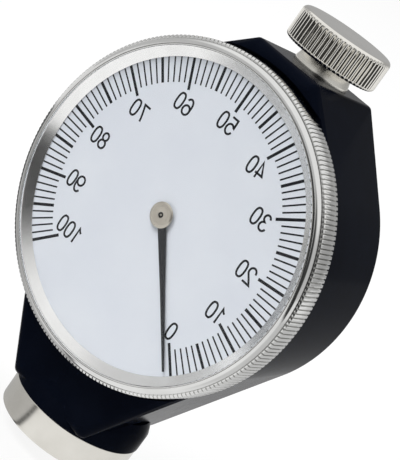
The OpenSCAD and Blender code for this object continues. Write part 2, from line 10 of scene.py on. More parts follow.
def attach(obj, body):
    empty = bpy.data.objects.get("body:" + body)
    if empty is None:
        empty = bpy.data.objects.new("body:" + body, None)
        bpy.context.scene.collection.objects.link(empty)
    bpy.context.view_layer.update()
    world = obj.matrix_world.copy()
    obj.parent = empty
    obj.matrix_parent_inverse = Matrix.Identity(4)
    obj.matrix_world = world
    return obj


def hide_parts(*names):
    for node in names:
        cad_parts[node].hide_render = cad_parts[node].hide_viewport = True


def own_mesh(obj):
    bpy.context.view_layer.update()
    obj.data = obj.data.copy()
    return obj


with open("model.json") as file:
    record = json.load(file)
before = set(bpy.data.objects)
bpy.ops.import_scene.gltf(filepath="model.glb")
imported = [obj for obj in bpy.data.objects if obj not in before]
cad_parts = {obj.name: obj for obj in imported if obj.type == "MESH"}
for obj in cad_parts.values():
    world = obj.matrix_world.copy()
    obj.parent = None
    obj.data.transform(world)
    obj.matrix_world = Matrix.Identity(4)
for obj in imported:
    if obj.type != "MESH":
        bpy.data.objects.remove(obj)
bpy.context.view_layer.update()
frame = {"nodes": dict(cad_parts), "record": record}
print("frame loaded:", len(frame["nodes"]), "nodes")

mm = 0.001
sameSpot = 2e-7  # points closer than this are one, m
dialCentre = (0.0, 45.6)  # x and z of the dial's axis, mm
spindleAxis = (0.0, 0.0)  # x and y of the upright axes, mm
knobAxis = (0.0, 1.6)


# Quads between neighbours of a grid numbered u * nv + v, wrapped round where asked
def gridFaces(nu, nv, wrapU=True, wrapV=True):
    u = np.arange(nu if wrapU else nu - 1)
    v = np.arange(nv if wrapV else nv - 1)
    i, j = np.meshgrid(u, v, indexing="ij")
    k, m = (i + 1) % nu, (j + 1) % nv
    return np.stack([i * nv + j, k * nv + j, k * nv + m, i * nv + m], -1).reshape(-1, 4)


# Points from places on the dial: x and z are measured from its axis, and depth is y
def onDial(x, depth, z):
    return np.stack([dialCentre[0] + x, np.broadcast_to(depth, x.shape), dialCentre[1] + z], -1)


def evenTurn(steps):
    return np.linspace(0, 2 * np.pi, steps, endpoint=False)


# Points in mm and quads go into a mesh in metres; seams and poles are welded, faces turned outwards
def makePiece(name, points, faces, smoothAngle=30.0):
    mesh = bpy.data.meshes.new(name)
    mesh.from_pydata((points.reshape(-1, 3) * mm).tolist(), [], faces.tolist())
    weld(mesh)
    return linkPiece(name, mesh, smoothAngle)


def weld(mesh, outward=True):
    bm = bmesh.new()
    bm.from_mesh(mesh)
    bmesh.ops.remove_doubles(bm, verts=bm.verts, dist=sameSpot)
    bmesh.ops.dissolve_degenerate(bm, edges=bm.edges, dist=sameSpot / 2)
    if outward:
        bmesh.ops.recalc_face_normals(bm, faces=bm.faces)
    bm.to_mesh(mesh)
    bm.free()


def linkPiece(name, mesh, smoothAngle):
    mesh.shade_smooth()
    mesh.set_sharp_from_angle(angle=math.radians(smoothAngle))
    piece = bpy.data.objects.new(name, mesh)
    bpy.context.scene.collection.objects.link(piece)
    # large flat faces keep their own normal beside a rounded edge
    piece.modifiers.new("evenNormals", "WEIGHTED_NORMAL").keep_sharp = True
    return piece


# Rounds a profile's corners: point(s) = (1-s)^2 a + 2s(1-s) corner + s^2 b,
# with a and b set back by reach along the two sides, and by less than half a side
def rounded(points, reach, steps=5, closed=True):
    p = np.asarray(points, float)
    reach = np.broadcast_to(np.asarray(reach, float), len(p)).copy()
    if not closed:
        reach[[0, -1]] = 0
    back, ahead = np.roll(p, 1, 0) - p, np.roll(p, -1, 0) - p
    backLong, aheadLong = np.linalg.norm(back, axis=1), np.linalg.norm(ahead, axis=1)
    d = np.minimum(reach, 0.49 * np.minimum(backLong, aheadLong))
    a = p + back * (d / backLong)[:, None]
    b = p + ahead * (d / aheadLong)[:, None]
    s = np.linspace(0, 1, steps)[None, :, None]
    curve = (1 - s) ** 2 * a[:, None] + 2 * s * (1 - s) * p[:, None] + s * s * b[:, None]
    curve = curve.reshape(-1, 2)
    keep = np.linalg.norm(curve - np.roll(curve, 1, 0), axis=1) > 1e-6
    keep[0] = True
    return curve[keep]


# A profile of (radius, height) carried round an axis: across = r cos a, side = r sin a, along = height
# The axis is the dial's, or an upright one at (x, y); cut is taken off r at each angle
def turned(name, profile, angles, upright=None, closed=True, cut=0.0, smoothAngle=30.0):
    profile = np.asarray(profile, float)
    r = np.repeat(profile[None, :, 0], len(angles), 0) - cut
    h = np.repeat(profile[None, :, 1], len(angles), 0)
    across, side = r * np.cos(angles)[:, None], r * np.sin(angles)[:, None]
    if upright:
        points = np.stack([upright[0] + across, upright[1] + side, h], -1)
    else:
        points = onDial(across, h, side)
    return makePiece(name, points, gridFaces(len(angles), len(profile), True, closed), smoothAngle)


# Angles and groove depths of a straight knurl: place and depth give one ridge, from groove to groove
def knurlWave(ridges, place, depth):
    angles = np.add.outer(np.arange(ridges), place) * (2 * np.pi / ridges)
    return angles.ravel(), np.tile(depth, ridges)


# A CAD node's own mesh, copied and welded, so that its round faces shade smooth
def smoothCopy(node, name, smoothAngle=30.0, wall=None):
    mesh = frame["nodes"][node].data.copy()
    mesh.materials.clear()
    if "custom_normal" in mesh.attributes:
        mesh.attributes.remove(mesh.attributes["custom_normal"])
    weld(mesh, False)
    if wall:
        roundWall(mesh, wall)
    return linkPiece(name, mesh, smoothAngle)


# A round wall that is a polygon in the solid: its sides are cut,
# and the new points go out to the circle through the polygon's corners
def roundWall(mesh, wall):
    def reach(vert):
        return math.hypot(vert.co.x - dialCentre[0] * mm, vert.co.z - dialCentre[1] * mm)

    # a side's ends have one depth and one radius, and lie a polygon's side apart
    def isSide(edge):
        a, b = edge.verts
        r = reach(a)
        side = 2 * r * math.sin(math.pi / wall["sides"])
        level = abs(a.co.y - b.co.y) < wall["sameDepth"] and abs(r - reach(b)) < wall["sameReach"]
        return (level and r > wall["least"] * mm
                and abs(edge.calc_length() / side - 1) < wall["sameLength"])

    bm = bmesh.new()
    bm.from_mesh(mesh)
    sides = [edge for edge in bm.edges if isSide(edge)]
    circles = {round(edge.verts[0].co.y, 6): reach(edge.verts[0]) for edge in sides}
    strips = dict.fromkeys(face for edge in sides for face in edge.link_faces
                           if abs(face.normal.y) < wall["frontFacing"])
    bmesh.ops.join_triangles(bm, faces=list(strips), angle_face_threshold=wall["flatWithin"],
                             angle_shape_threshold=wall["skewWithin"])
    corners = {vert.co.to_tuple() for vert in bm.verts}
    bmesh.ops.subdivide_edges(bm, edges=sides, cuts=wall["cuts"])
    for vert in bm.verts:
        if vert.co.to_tuple() in corners:
            continue
        stretch = circles[round(vert.co.y, 6)] / reach(vert)
        vert.co.x = dialCentre[0] * mm + (vert.co.x - dialCentre[0] * mm) * stretch
        vert.co.z = dialCentre[1] * mm + (vert.co.z - dialCentre[1] * mm) * stretch
    print("round wall:", len(sides), "sides on", len(circles), "circles")
    bm.to_mesh(mesh)
    bm.free()


def newFinish(name):
    mat = bpy.data.materials.new(name)
    mat.use_nodes = True
    tree = mat.node_tree
    where = tree.nodes.new("ShaderNodeTexCoord")
    return mat, tree, tree.nodes["Principled BSDF"], where.outputs["Object"]


evenGrain = (1, 1, 1)
turnedGrain = (8, 8, 160)  # fine lines round an upright axis
noiseSpan = (0.3, 0.7)  # what most of a noise lies between


def noiseOn(tree, where, scale, detail=3.0, stretch=evenGrain):
    place = tree.nodes.new("ShaderNodeMapping")
    place.inputs["Scale"].default_value = stretch
    noise = tree.nodes.new("ShaderNodeTexNoise")
    noise.inputs["Scale"].default_value = scale
    noise.inputs["Detail"].default_value = detail
    tree.links.new(where, place.inputs["Vector"])
    tree.links.new(place.outputs["Vector"], noise.inputs["Vector"])
    return noise.outputs["Fac"]


def spread(tree, value, low, high, target):
    ramp = tree.nodes.new("ShaderNodeMapRange")
    ramp.inputs["From Min"].default_value = noiseSpan[0]
    ramp.inputs["From Max"].default_value = noiseSpan[1]
    ramp.inputs["To Min"].default_value = low
    ramp.inputs["To Max"].default_value = high
    tree.links.new(value, ramp.inputs["Value"])
    tree.links.new(ramp.outputs["Result"], target)


# A ramp of (place, colour) from value to target
def tint(tree, value, stops, target):
    ramp = tree.nodes.new("ShaderNodeValToRGB")
    for place, colour in stops[1:-1]:
        ramp.color_ramp.elements.new(place)
    for element, (place, colour) in zip(ramp.color_ramp.elements, stops):
        element.position, element.color = place, (*colour, 1)
    tree.links.new(value, ramp.inputs["Fac"])
    tree.links.new(ramp.outputs["Color"], target)


def bumpFrom(tree, value, strength, distance, shader):
    bump = tree.nodes.new("ShaderNodeBump")
    bump.inputs["Strength"].default_value = strength
    bump.inputs["Distance"].default_value = distance
    tree.links.new(value, bump.inputs["Height"])
    tree.links.new(bump.outputs["Normal"], shader.inputs["Normal"])


# Patches are the soft changes of colour, per metre; height is the bump's, in metres
metalLook = {"patches": 160.0, "detail": 4.0, "height": 0.00004}
paintLook = {"patches": 90.0, "detail": 2.0, "height": 0.00005}
lensLook = {"patches": 60.0, "rough": (0.0, 0.02), "ior": 1.2}


# Metal with a fine grain: stretch draws the noise out along the way the tool went
def metalFinish(name, dark, light, rough, grain, stretch, bump):
    mat, tree, shader, where = newFinish(name)
    shader.inputs["Metallic"].default_value = 1.0
    tint(tree, noiseOn(tree, where, metalLook["patches"]), list(zip(noiseSpan, (dark, light))),
         shader.inputs["Base Color"])
    lines = noiseOn(tree, where, grain, metalLook["detail"], stretch)
    spread(tree, lines, *rough, shader.inputs["Roughness"])
    bumpFrom(tree, lines, bump, metalLook["height"], shader)
    return mat


def paintFinish(name, dark, light, rough, grain, bump, ior):
    mat, tree, shader, where = newFinish(name)
    shader.inputs["IOR"].default_value = ior
    tint(tree, noiseOn(tree, where, paintLook["patches"]), list(zip(noiseSpan, (dark, light))),
         shader.inputs["Base Color"])
    peel = noiseOn(tree, where, grain, paintLook["detail"])
    spread(tree, peel, *rough, shader.inputs["Roughness"])
    bumpFrom(tree, peel, bump, paintLook["height"], shader)
    return mat


# Clear lens: glass for the eye, and open to the lamps' light
def lensFinish(name):
    mat, tree, shader, where = newFinish(name)
    shader.inputs["Base Color"].default_value = (1, 1, 1, 1)
    shader.inputs["Transmission Weight"].default_value = 1.0
    shader.inputs["IOR"].default_value = lensLook["ior"]
    spread(tree, noiseOn(tree, where, lensLook["patches"]), *lensLook["rough"],
           shader.inputs["Roughness"])
    path = tree.nodes.new("ShaderNodeLightPath")
    clear = tree.nodes.new("ShaderNodeBsdfTransparent")
    mix = tree.nodes.new("ShaderNodeMixShader")
    tree.links.new(path.outputs["Is Shadow Ray"], mix.inputs[0])
    tree.links.new(shader.outputs[0], mix.inputs[1])
    tree.links.new(clear.outputs[0], mix.inputs[2])
    tree.links.new(mix.outputs[0], tree.nodes["Material Output"].inputs["Surface"])
    return mat


# Metal: dark and light colour, least and most roughness, grain, its stretch, bump
# Paint: dark and light colour, least and most roughness, grain, bump, index of refraction
finishes = {
    "case_black": paintFinish("blackEnamel", (0.0014, 0.0022, 0.0052), (0.0024, 0.0036, 0.0078),
                              (0.10, 0.16), 700.0, 0.02, 1.06),
    "nickel": metalFinish("brightNickel", (0.66, 0.64, 0.59), (0.74, 0.72, 0.67),
                          (0.14, 0.22), 40.0, turnedGrain, 0.06),
    "bezel_chrome": metalFinish("bezelChrome", (0.68, 0.68, 0.67), (0.75, 0.75, 0.74),
                                (0.07, 0.12), 300.0, evenGrain, 0.04),
    "steel": metalFinish("turnedSteel", (0.52, 0.53, 0.55), (0.62, 0.63, 0.65),
                         (0.2, 0.32), 60.0, (6, 6, 60), 0.1),
    "spring_steel": metalFinish("drawnSteel", (0.38, 0.39, 0.42), (0.48, 0.49, 0.52),
                                (0.22, 0.36), 400.0, evenGrain, 0.08),
    "brass": metalFinish("turnedBrass", (0.66, 0.50, 0.22), (0.76, 0.60, 0.30),
                         (0.2, 0.34), 300.0, evenGrain, 0.08),
    "dial_white": paintFinish("dialWhite", (0.79, 0.83, 0.90), (0.83, 0.87, 0.93),
                              (0.42, 0.55), 1500.0, 0.02, 1.4),
    "clear_lens": lensFinish("clearLens"),
    "pointer_black": paintFinish("pointerBlack", (0.006, 0.007, 0.010), (0.014, 0.015, 0.019),
                                 (0.3, 0.42), 1800.0, 0.04, 1.45),
}
inkFinish = paintFinish("dialInk", (0.006, 0.007, 0.010), (0.016, 0.017, 0.021),
                        (0.45, 0.6), 2500.0, 0.02, 1.3)
ringFinish = metalFinish("ringChrome", (0.86, 0.86, 0.85), (0.92, 0.92, 0.91),
                         (0.13, 0.19), 300.0, evenGrain, 0.02)
collarFinish = metalFinish("collarSatin", (0.72, 0.70, 0.65), (0.82, 0.80, 0.74),
                           (0.22, 0.3), 40.0, turnedGrain, 0.05)
knobFinish = metalFinish("knobNickel", (0.76, 0.74, 0.69), (0.84, 0.82, 0.77),
                         (0.05, 0.09), 40.0, turnedGrain, 0.03)

slotOf = {s["node"]: s["material_slot"] for s in frame["record"]["subparts"]}
for nodeName, nodeObject in frame["nodes"].items():
    nodeObject.data.materials.clear()
    nodeObject.data.materials.append(finishes[slotOf[nodeName]])
print("finishes on", len(slotOf), "nodes")


def dress(piece, body, node=None, finish=None, slot=None):
    slot = slot or slotOf[node]
    piece.data.materials.append(finish or finishes[slot])
    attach(piece, body)
    if node:
        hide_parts(node)
    return piece


caseWall = {"smooth": 33.0, "sides": 48, "least": 25.6, "cuts": 3,
            "sameDepth": 1e-6, "sameReach": 3e-6, "sameLength": 0.02,
            "frontFacing": 0.99, "flatWithin": 0.02, "skewWithin": 3.1}
dress(smoothCopy("case", "caseShell", caseWall["smooth"], caseWall), "case", "case")
dress(smoothCopy("back_cover", "backPlate"), "case", "back_cover")
dress(smoothCopy("foot_grub_screw", "footScrew"), "case", "foot_grub_screw")

# Back screws: a countersunk profile carried round each screw's axis. The cross in the head is
# a radius by the angle: half the slot's width over the sine of the angle to the nearer arm,
# and no longer than the arm
backScrew = {"circle": 23.0, "spots": (45, 135, 225, 315), "turns": (12, 50, 71, 33),
             "head": 2.0, "land": 1.95, "shank": 1.0, "end": 6.7, "neck": 11.7,
             "rim": (12.63, 12.675), "face": 12.7, "arm": 1.2, "slot": 0.46,
             "crossFloor": 12.02, "crossPoint": 11.9, "taper": 0.55}
screwLine = np.array([(0, backScrew["end"]), (backScrew["shank"], backScrew["end"]),
                      (backScrew["shank"], backScrew["neck"]), (backScrew["land"], backScrew["rim"][0]),
                      (backScrew["head"], backScrew["rim"][1]), (backScrew["land"], backScrew["face"]),
                      (0, backScrew["face"]), (0, backScrew["crossFloor"]),
                      (0, backScrew["crossPoint"])])
armEdge = math.degrees(math.asin(backScrew["slot"] / 2 / backScrew["arm"]))
quarter = [0, armEdge / 2, armEdge, 14, 18, 23, 30, 37, 45, 53, 60, 67, 72, 76,
           90 - armEdge, 90 - armEdge / 2]
around = np.radians(np.add.outer(np.arange(4) * 90, quarter).ravel())
toArm = np.minimum(np.abs(np.sin(around)), np.abs(np.cos(around)))
cross = np.minimum(backScrew["arm"], backScrew["slot"] / 2 / np.maximum(toArm, 1e-3))
screwRadii = np.repeat(screwLine[None, :, 0], len(around), 0)
screwRadii[:, 6:8] = cross[:, None] * [1, backScrew["taper"]]  # at the face and at the floor
screwPoints, screwFaces = [], []
for spot, turn in zip(np.radians(backScrew["spots"]), np.radians(backScrew["turns"])):
    screwFaces.append(gridFaces(*screwRadii.shape, True, False) + len(screwPoints) * screwRadii.size)
    x = backScrew["circle"] * math.cos(spot) + screwRadii * np.cos(around + turn)[:, None]
    z = backScrew["circle"] * math.sin(spot) + screwRadii * np.sin(around + turn)[:, None]
    screwPoints.append(onDial(x, screwLine[:, 1], z))
dress(makePiece("backScrews", np.concatenate(screwPoints), np.concatenate(screwFaces)),
      "case", "back_cover_screws")

# The main spring shortens towards the plug above it by as much as the spindle rises; here it only gets
# a mesh of its own and is not shortened
mainSpring = {"rise": 0.0025, "smooth": 40.0}  # rise in metres
spring = dress(smoothCopy("main_spring", "mainSpring", mainSpring["smooth"]), "case", "main_spring")
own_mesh(spring)
print("case done")

# Profiles from here on are (radius, height) round an upright axis; steps are the sides of a full turn
foot = {"steps": 192, "outer": 12.3, "hole": 1.5, "top": 5.5, "edge": 0.45, "spigot": 7.0,
        "spigotTop": 11.9, "seat": 3.42, "seatFloor": 6.9, "well": 2.6, "wellFloor": 3.6}
footLine = [(foot["hole"], 0), (foot["outer"], 0), (foot["outer"], foot["top"]),
            (foot["spigot"], foot["top"]), (foot["spigot"], foot["spigotTop"]),
            (foot["seat"], foot["spigotTop"]), (foot["seat"], foot["seatFloor"]),
            (foot["well"], foot["seatFloor"]), (foot["well"], foot["wellFloor"]),
            (foot["hole"], foot["wellFloor"])]
footEdges = [0.15, foot["edge"], 0.25, 0, 0.2, 0, 0, 0, 0, 0]
dress(turned("presserFoot", rounded(footLine, footEdges), evenTurn(foot["steps"]), spindleAxis),
      "case", "presser_foot")

tip = {"steps": 64, "shaft": 0.625, "flat": 0.395, "low": -2.5, "cone": 0.73, "top": 7.4, "edge": 0.03}
tipLine = [(0, tip["low"]), (tip["flat"], tip["low"]), (tip["shaft"], tip["low"] + tip["cone"]),
           (tip["shaft"], tip["top"]), (0, tip["top"])]
tipTurn = evenTurn(tip["steps"])
dress(turned("indenterTip", rounded(tipLine, tip["edge"], 4, False), tipTurn, spindleAxis, False),
      "spindle", "indenter")

collar = {"steps": 160, "outer": 5.2, "neck": 4.7, "bore": 2.92, "low": 76.58, "seat": 77.4,
          "high": 79.1}
collarLine = [(collar["bore"], collar["low"]), (collar["outer"], collar["low"]),
              (collar["outer"], collar["seat"]), (collar["neck"], collar["high"]),
              (collar["bore"], collar["high"])]
collarEdges = [0, 0.12, 0.1, 0.2, 0]
dress(turned("knobCollar", rounded(collarLine, collarEdges), evenTurn(collar["steps"]), knobAxis),
      "case", "knob_collar", collarFinish)

# Knob: bore, chamfer below, ridges, rounded edge above; bite is the share of the knurl's depth
knob = {"radius": 8.7, "depth": 0.5, "ridges": 60, "low": 79.4, "high": 85.1,
        "bore": 2.95, "boreTop": 83.8, "smooth": 40.0}
knobLine = [(0, knob["boreTop"]), (knob["bore"], knob["boreTop"]), (knob["bore"], knob["low"]),
            (7.95, knob["low"]), (8.3, 79.45), (8.55, 79.62), (8.68, 79.85), (knob["radius"], 80.1),
            (knob["radius"], 82.3), (knob["radius"], 84.15), (8.69, 84.36), (8.65, 84.54),
            (8.58, 84.7), (8.47, 84.85), (8.32, 84.97), (8.13, 85.06), (7.9, knob["high"]),
            (7.75, knob["high"]), (4.0, knob["high"]), (0, knob["high"])]
knobBite = np.zeros(len(knobLine))
knobBite[4:13] = [0.4, 0.8, 1, 1, 1, 1, 0.85, 0.5, 0.12]
knobAngles, knobWave = knurlWave(knob["ridges"], [0, 0.1, 0.2, 0.34, 0.5, 0.66, 0.8, 0.9],
                                 [1, 0.86, 0.45, 0.1, 0.0, 0.1, 0.45, 0.86])
knobCut = knobWave[:, None] * knobBite[None, :] * knob["depth"]
dress(turned("knurledKnob", knobLine, knobAngles, knobAxis, False, knobCut, knob["smooth"]),
      "knob", "knob", knobFinish)
print("foot, collar and knob done")

# Profiles from here on are (radius, y) round the dial's axis, with the front at the lower y
# Bezel: back lip and groove for the wire, knurl, step, rounded bead, and a cut line in the rim's front
bezel = {"ridges": 240, "depth": 0.46, "radius": 29.5, "wall": 27.62, "smooth": 38.0}
bezelLine = [(bezel["wall"], -13.85), (25.8, -13.85), (25.8, -13.0), (26.95, -13.0), (26.95, -12.35),
             (27.65, -12.35), (27.65, -11.35), (26.95, -11.35), (26.95, -10.7), (29.0, -10.7),
             (29.4, -10.76), (bezel["radius"], -10.9), (bezel["radius"], -12.8),
             (bezel["radius"], -14.8), (29.36, -14.98), (29.1, -15.13), (29.03, -15.14),
             (28.97, -15.12), (28.95, -14.95), (28.9, -14.95), (28.89, -15.25), (28.85, -15.48),
             (28.75, -15.7), (28.6, -15.88), (28.42, -16.0), (28.3, -16.05), (28.19, -16.09),
             (27.93, -16.09), (27.9, -16.03), (27.88, -15.86), (27.84, -15.86), (27.82, -16.03),
             (27.8, -16.09), (27.68, -16.09), (27.65, -16.07), (bezel["wall"], -16.0)]
bezelBite = np.zeros(len(bezelLine))
bezelBite[10:16] = [0.6, 1, 1, 1, 1, 0.3]
bezelAngles, bezelWave = knurlWave(bezel["ridges"], [0, 0.08, 0.16, 0.5, 0.84, 0.92],
                                   [1, 0.6, 0.04, 0, 0.04, 0.6])
bezelCut = bezelWave[:, None] * bezelBite[None, :] * bezel["depth"]
dress(turned("knurledBezel", bezelLine, bezelAngles, cut=bezelCut, smoothAngle=bezel["smooth"]),
      "bezel", "bezel")

ring = {"steps": 256, "inner": 25.93, "outer": 27.57, "face": -14.5, "front": -15.59}
ringLine = [(26.15, ring["face"]), (ring["inner"], -14.6), (25.95, -14.66), (27.48, -15.56),
            (ring["outer"], ring["front"]), (ring["outer"], ring["face"])]
ringEdges = [0, 0.02, 0.02, 0.05, 0, 0]
dress(turned("dialRing", rounded(ringLine, ringEdges), evenTurn(ring["steps"])),
      "bezel", "dial_ring", ringFinish)

lens = {"steps": 192, "radius": 27.57, "front": -16.1, "back": -15.6}
lensLine = [(0, lens["front"]), (lens["radius"], lens["front"]), (lens["radius"], lens["back"]),
            (0, lens["back"])]
dress(turned("clearLensDisc", lensLine, evenTurn(lens["steps"]), closed=False), "bezel", "lens")
print("bezel done")

dialSheet = {"steps": 192, "radius": 27.0, "hole": 1.6, "face": -14.5, "back": -13.9}
dialLine = [(dialSheet["hole"], dialSheet["face"]), (dialSheet["radius"], dialSheet["face"]),
            (dialSheet["radius"], dialSheet["back"]), (dialSheet["hole"], dialSheet["back"])]
dress(turned("dialSheet", dialLine, evenTurn(dialSheet["steps"])), "bezel", "dial")

# Marks: one flat block a reading, its corners at inner and outer radius, half a width to each side
# A reading's angle is seen from the front, from +x towards +z, with the middle one straight up
scale = {"marks": 101, "middle": 50, "step": 2.726, "outer": 26.05, "tens": 20.63, "ones": 21.76,
         "wide": 0.5, "narrow": 0.27, "ink": 0.015}
reading = np.arange(scale["marks"])
markAngle = np.radians(90 + (reading - scale["middle"]) * scale["step"])
markInner = np.where(reading % 10 == 0, scale["tens"], scale["ones"])
markOuter = np.full(len(reading), scale["outer"])
markHalf = np.where(reading % 5 == 0, scale["wide"], scale["narrow"]) / 2
along = np.stack([np.cos(markAngle), np.sin(markAngle)], -1)
aside = np.stack([-along[:, 1], along[:, 0]], -1)
markCorners = []
for side in (-1, 1):
    for end in (markInner, markOuter):
        spot = along * end[:, None] + aside * (side * markHalf)[:, None]
        for depth in (0.0, scale["ink"]):
            markCorners.append(onDial(spot[:, 0], dialSheet["face"] - depth, spot[:, 1]))
markPoints = np.stack(markCorners, 1)  # a corner's number is side * 4 + end * 2 + depth
block = np.array([(0, 1, 3, 2), (4, 6, 7, 5), (0, 4, 5, 1), (2, 3, 7, 6), (0, 2, 6, 4), (1, 5, 7, 3)])
markFaces = (reading[:, None, None] * len(markCorners) + block[None]).reshape(-1, 4)
dress(makePiece("dialMarks", markPoints, markFaces), "bezel", None, inkFinish, "pointer_black")


# Figures: strokes on a box one wide and one high, x to the reader's right
# An arc is its centre plus its radii times (cos a, sin a)
def bow(cx, cy, rx, ry, start, stop, count):
    a = np.radians(np.linspace(start, stop, count))
    return np.stack([cx + rx * np.cos(a), cy + ry * np.sin(a)], -1)


# The nought is squarer than an ellipse: cos and sin are raised to the power 0.8 and keep their sign
noughtSide = 2 * bow(0, 0, 0.5, 0.5, 90, 450, 49)
nought = 0.5 + 0.5 * np.sign(noughtSide) * np.abs(noughtSide) ** 0.8
six = np.concatenate([bow(0.47, 0.6, 0.53, 0.4, 35, 180, 15),
                      bow(0.475, 0.29, 0.535, 0.29, 180, 540, 37)])
strokes = {
    "0": [nought],
    "1": [np.array([(0.16, 0.77), (0.42, 0.85), (0.66, 1.0), (0.66, 0.0)])],
    "2": [np.concatenate([bow(0.44, 0.72, 0.51, 0.28, 178, -28, 19),
                          [(0.36, 0.29), (-0.1, 0.0), (1.03, 0.0)]])],
    "3": [np.concatenate([bow(0.42, 0.77, 0.44, 0.23, 165, -75, 15),
                          bow(0.42, 0.27, 0.52, 0.27, 82, -168, 19)])],
    "4": [np.array([(0.725, 0.0), (0.725, 1.0), (-0.12, 0.29), (1.04, 0.29)])],
    "5": [np.concatenate([[(0.94, 1.0), (0.0, 1.0), (-0.04, 0.5)],
                          bow(0.47, 0.315, 0.53, 0.315, 140, -160, 21)])],
    "6": [six],
    "7": [np.array([(-0.09, 1.0), (0.9, 1.0), (0.56, 0.55), (0.36, 0.22), (0.28, 0.0)])],
    "8": [bow(0.5, 0.757, 0.43, 0.243, -90, 270, 29), bow(0.5, 0.26, 0.52, 0.26, 90, 450, 33)],
    "9": [1 - six],
}
figures = {"wide": 1.32, "high": 2.79, "step": 1.83, "line": 0.36, "ink": 0.015, "smooth": 40.0}
# Places of the figures: x and z from the dial's centre
figurePlaces = {0: (13.35, -13.23), 10: (17.88, -5.88), 20: (17.99, 2.44), 30: (14.64, 10.35),
                40: (8.80, 16.14), 50: (-0.12, 18.44), 60: (-8.69, 16.13), 70: (-14.96, 10.35),
                80: (-18.28, 2.44), 90: (-17.40, -5.92), 100: (-13.08, -12.87)}


# Both edges of a stroke: each point moves half a line's width along the mitred normal
def band(path, width):
    ahead = np.diff(path, axis=0)
    ahead /= np.linalg.norm(ahead, axis=1)[:, None]
    first, last = np.vstack([ahead[:1], ahead]), np.vstack([ahead, ahead[-1:]])
    if np.allclose(path[0], path[-1]):
        first[0], last[-1] = ahead[-1], ahead[0]
    mid = first + last
    mid /= np.maximum(np.linalg.norm(mid, axis=1), 1e-6)[:, None]
    stretch = 1 / np.maximum(np.abs((mid * last).sum(1)), 0.45)  # a sharp mitre is cut short
    normal = np.stack([-mid[:, 1], mid[:, 0]], -1) * (width / 2 * stretch)[:, None]
    return path + normal, path - normal


inkDepth = dialSheet["face"] - np.array([0.0, 0.0, figures["ink"], figures["ink"]])
figurePoints, figureFaces, figureCount = [], [], 0
for value, middle in figurePlaces.items():
    text = str(value)
    for place, sign in enumerate(text):
        shift = (place - (len(text) - 1) / 2) * figures["step"]
        for stroke in strokes[sign]:
            path = (stroke - 0.5) * [figures["wide"], figures["high"]]
            left, right = band(path, figures["line"])
            flat = np.stack([left, right, right, left], 1) + [shift, 0]
            # the photograph is a mirror picture, so the figures run from right to left
            points = onDial(middle[0] - flat[..., 0], inkDepth, middle[1] + flat[..., 1])
            figurePoints.append(points.reshape(-1, 3))
            count = len(figurePoints[-1])
            figureFaces.append(gridFaces(len(path), 4, False, True) + figureCount)
            if not np.allclose(stroke[0], stroke[-1]):
                ends = np.array([[0, 1, 2, 3], [count - 4, count - 1, count - 2, count - 3]])
                figureFaces.append(ends + figureCount)
            figureCount += count
figurePiece = makePiece("dialFigures", np.concatenate(figurePoints), np.concatenate(figureFaces),
                        figures["smooth"])
dress(figurePiece, "bezel", None, inkFinish, "pointer_black")
print("dial done")

# Needle: a six-sided section whose half width falls along two straight lines,
# from the eye to the waist and on to the tip
needle = {"angle": -48.9, "from": 1.15, "waist": 12.1, "length": 25.2, "halves": (0.85, 0.42, 0.16),
          "rows": 25, "front": -15.05, "back": -14.8, "edge": 0.06, "lip": 0.13, "lipShare": 0.45,
          "smooth": 25.0}
lengthwise = np.linspace(needle["from"], needle["length"], needle["rows"])
half = np.interp(lengthwise, [0, needle["waist"], needle["length"]], needle["halves"])
lip = np.minimum(needle["lip"], needle["lipShare"] * half)
widths = np.stack([-half, -half, lip - half, half - lip, half, half], -1)
shoulder = needle["front"] + needle["edge"]
depths = [needle["back"], shoulder, needle["front"], needle["front"], shoulder, needle["back"]]
c, s = math.cos(math.radians(needle["angle"])), math.sin(math.radians(needle["angle"]))
needlePoints = onDial(lengthwise[:, None] * c - widths * s, depths,
                      lengthwise[:, None] * s + widths * c)
needleEnd = np.array([(0, 1, 2, 3), (0, 3, 4, 5)])
needleFaces = np.concatenate([gridFaces(*widths.shape, False, True), needleEnd,
                              widths.size - 1 - needleEnd])
dress(makePiece("needle", needlePoints, needleFaces, needle["smooth"]), "pointer", "pointer")

# Hub: the arbor's end in a dimple, the face, a chamfer, and a bored neck behind
hub = {"steps": 96, "radius": 2.2, "front": -15.3, "edge": 0.26, "chamfer": 0.15,
       "back": -15.05, "dimple": 0.5, "dimpleFloor": -15.12, "neck": 1.1, "neckEnd": -14.4,
       "bore": 0.72, "boreFloor": -15.02}
hubLine = [(0, -15.24), (0.18, -15.23), (0.26, hub["dimpleFloor"]), (0.4, hub["dimpleFloor"]),
           (hub["dimple"], hub["front"]), (hub["radius"] - hub["edge"], hub["front"]),
           (hub["radius"], hub["front"] + hub["chamfer"]), (hub["radius"], hub["back"]),
           (hub["neck"], hub["back"]), (hub["neck"], hub["neckEnd"]), (hub["bore"], hub["neckEnd"]),
           (hub["bore"], hub["boreFloor"]), (0, hub["boreFloor"])]
hubEdges = [0, 0.04, 0.04, 0.04, 0.04, 0.05, 0.04, 0, 0, 0, 0, 0, 0]
# Colours by the share of the radius: the arbor's end, a painted shade as a near-black ring over the
# dimple, a painted highlight as a lighter ring at the dimple's rim, and the face
hubToneAndPaintedShade = [(0.0, (0.42, 0.40, 0.36)), (0.075, (0.36, 0.34, 0.30)), (0.105, (0.02, 0.02, 0.02)),
            (0.20, (0.02, 0.02, 0.02)), (0.235, (0.62, 0.58, 0.51)), (0.6, (0.57, 0.53, 0.46)),
            (1.0, (0.60, 0.56, 0.49))]
hubLook = {"rings": 9000.0, "detail": 2.0, "rough": (0.26, 0.40), "bump": 0.12, "height": 0.00002}
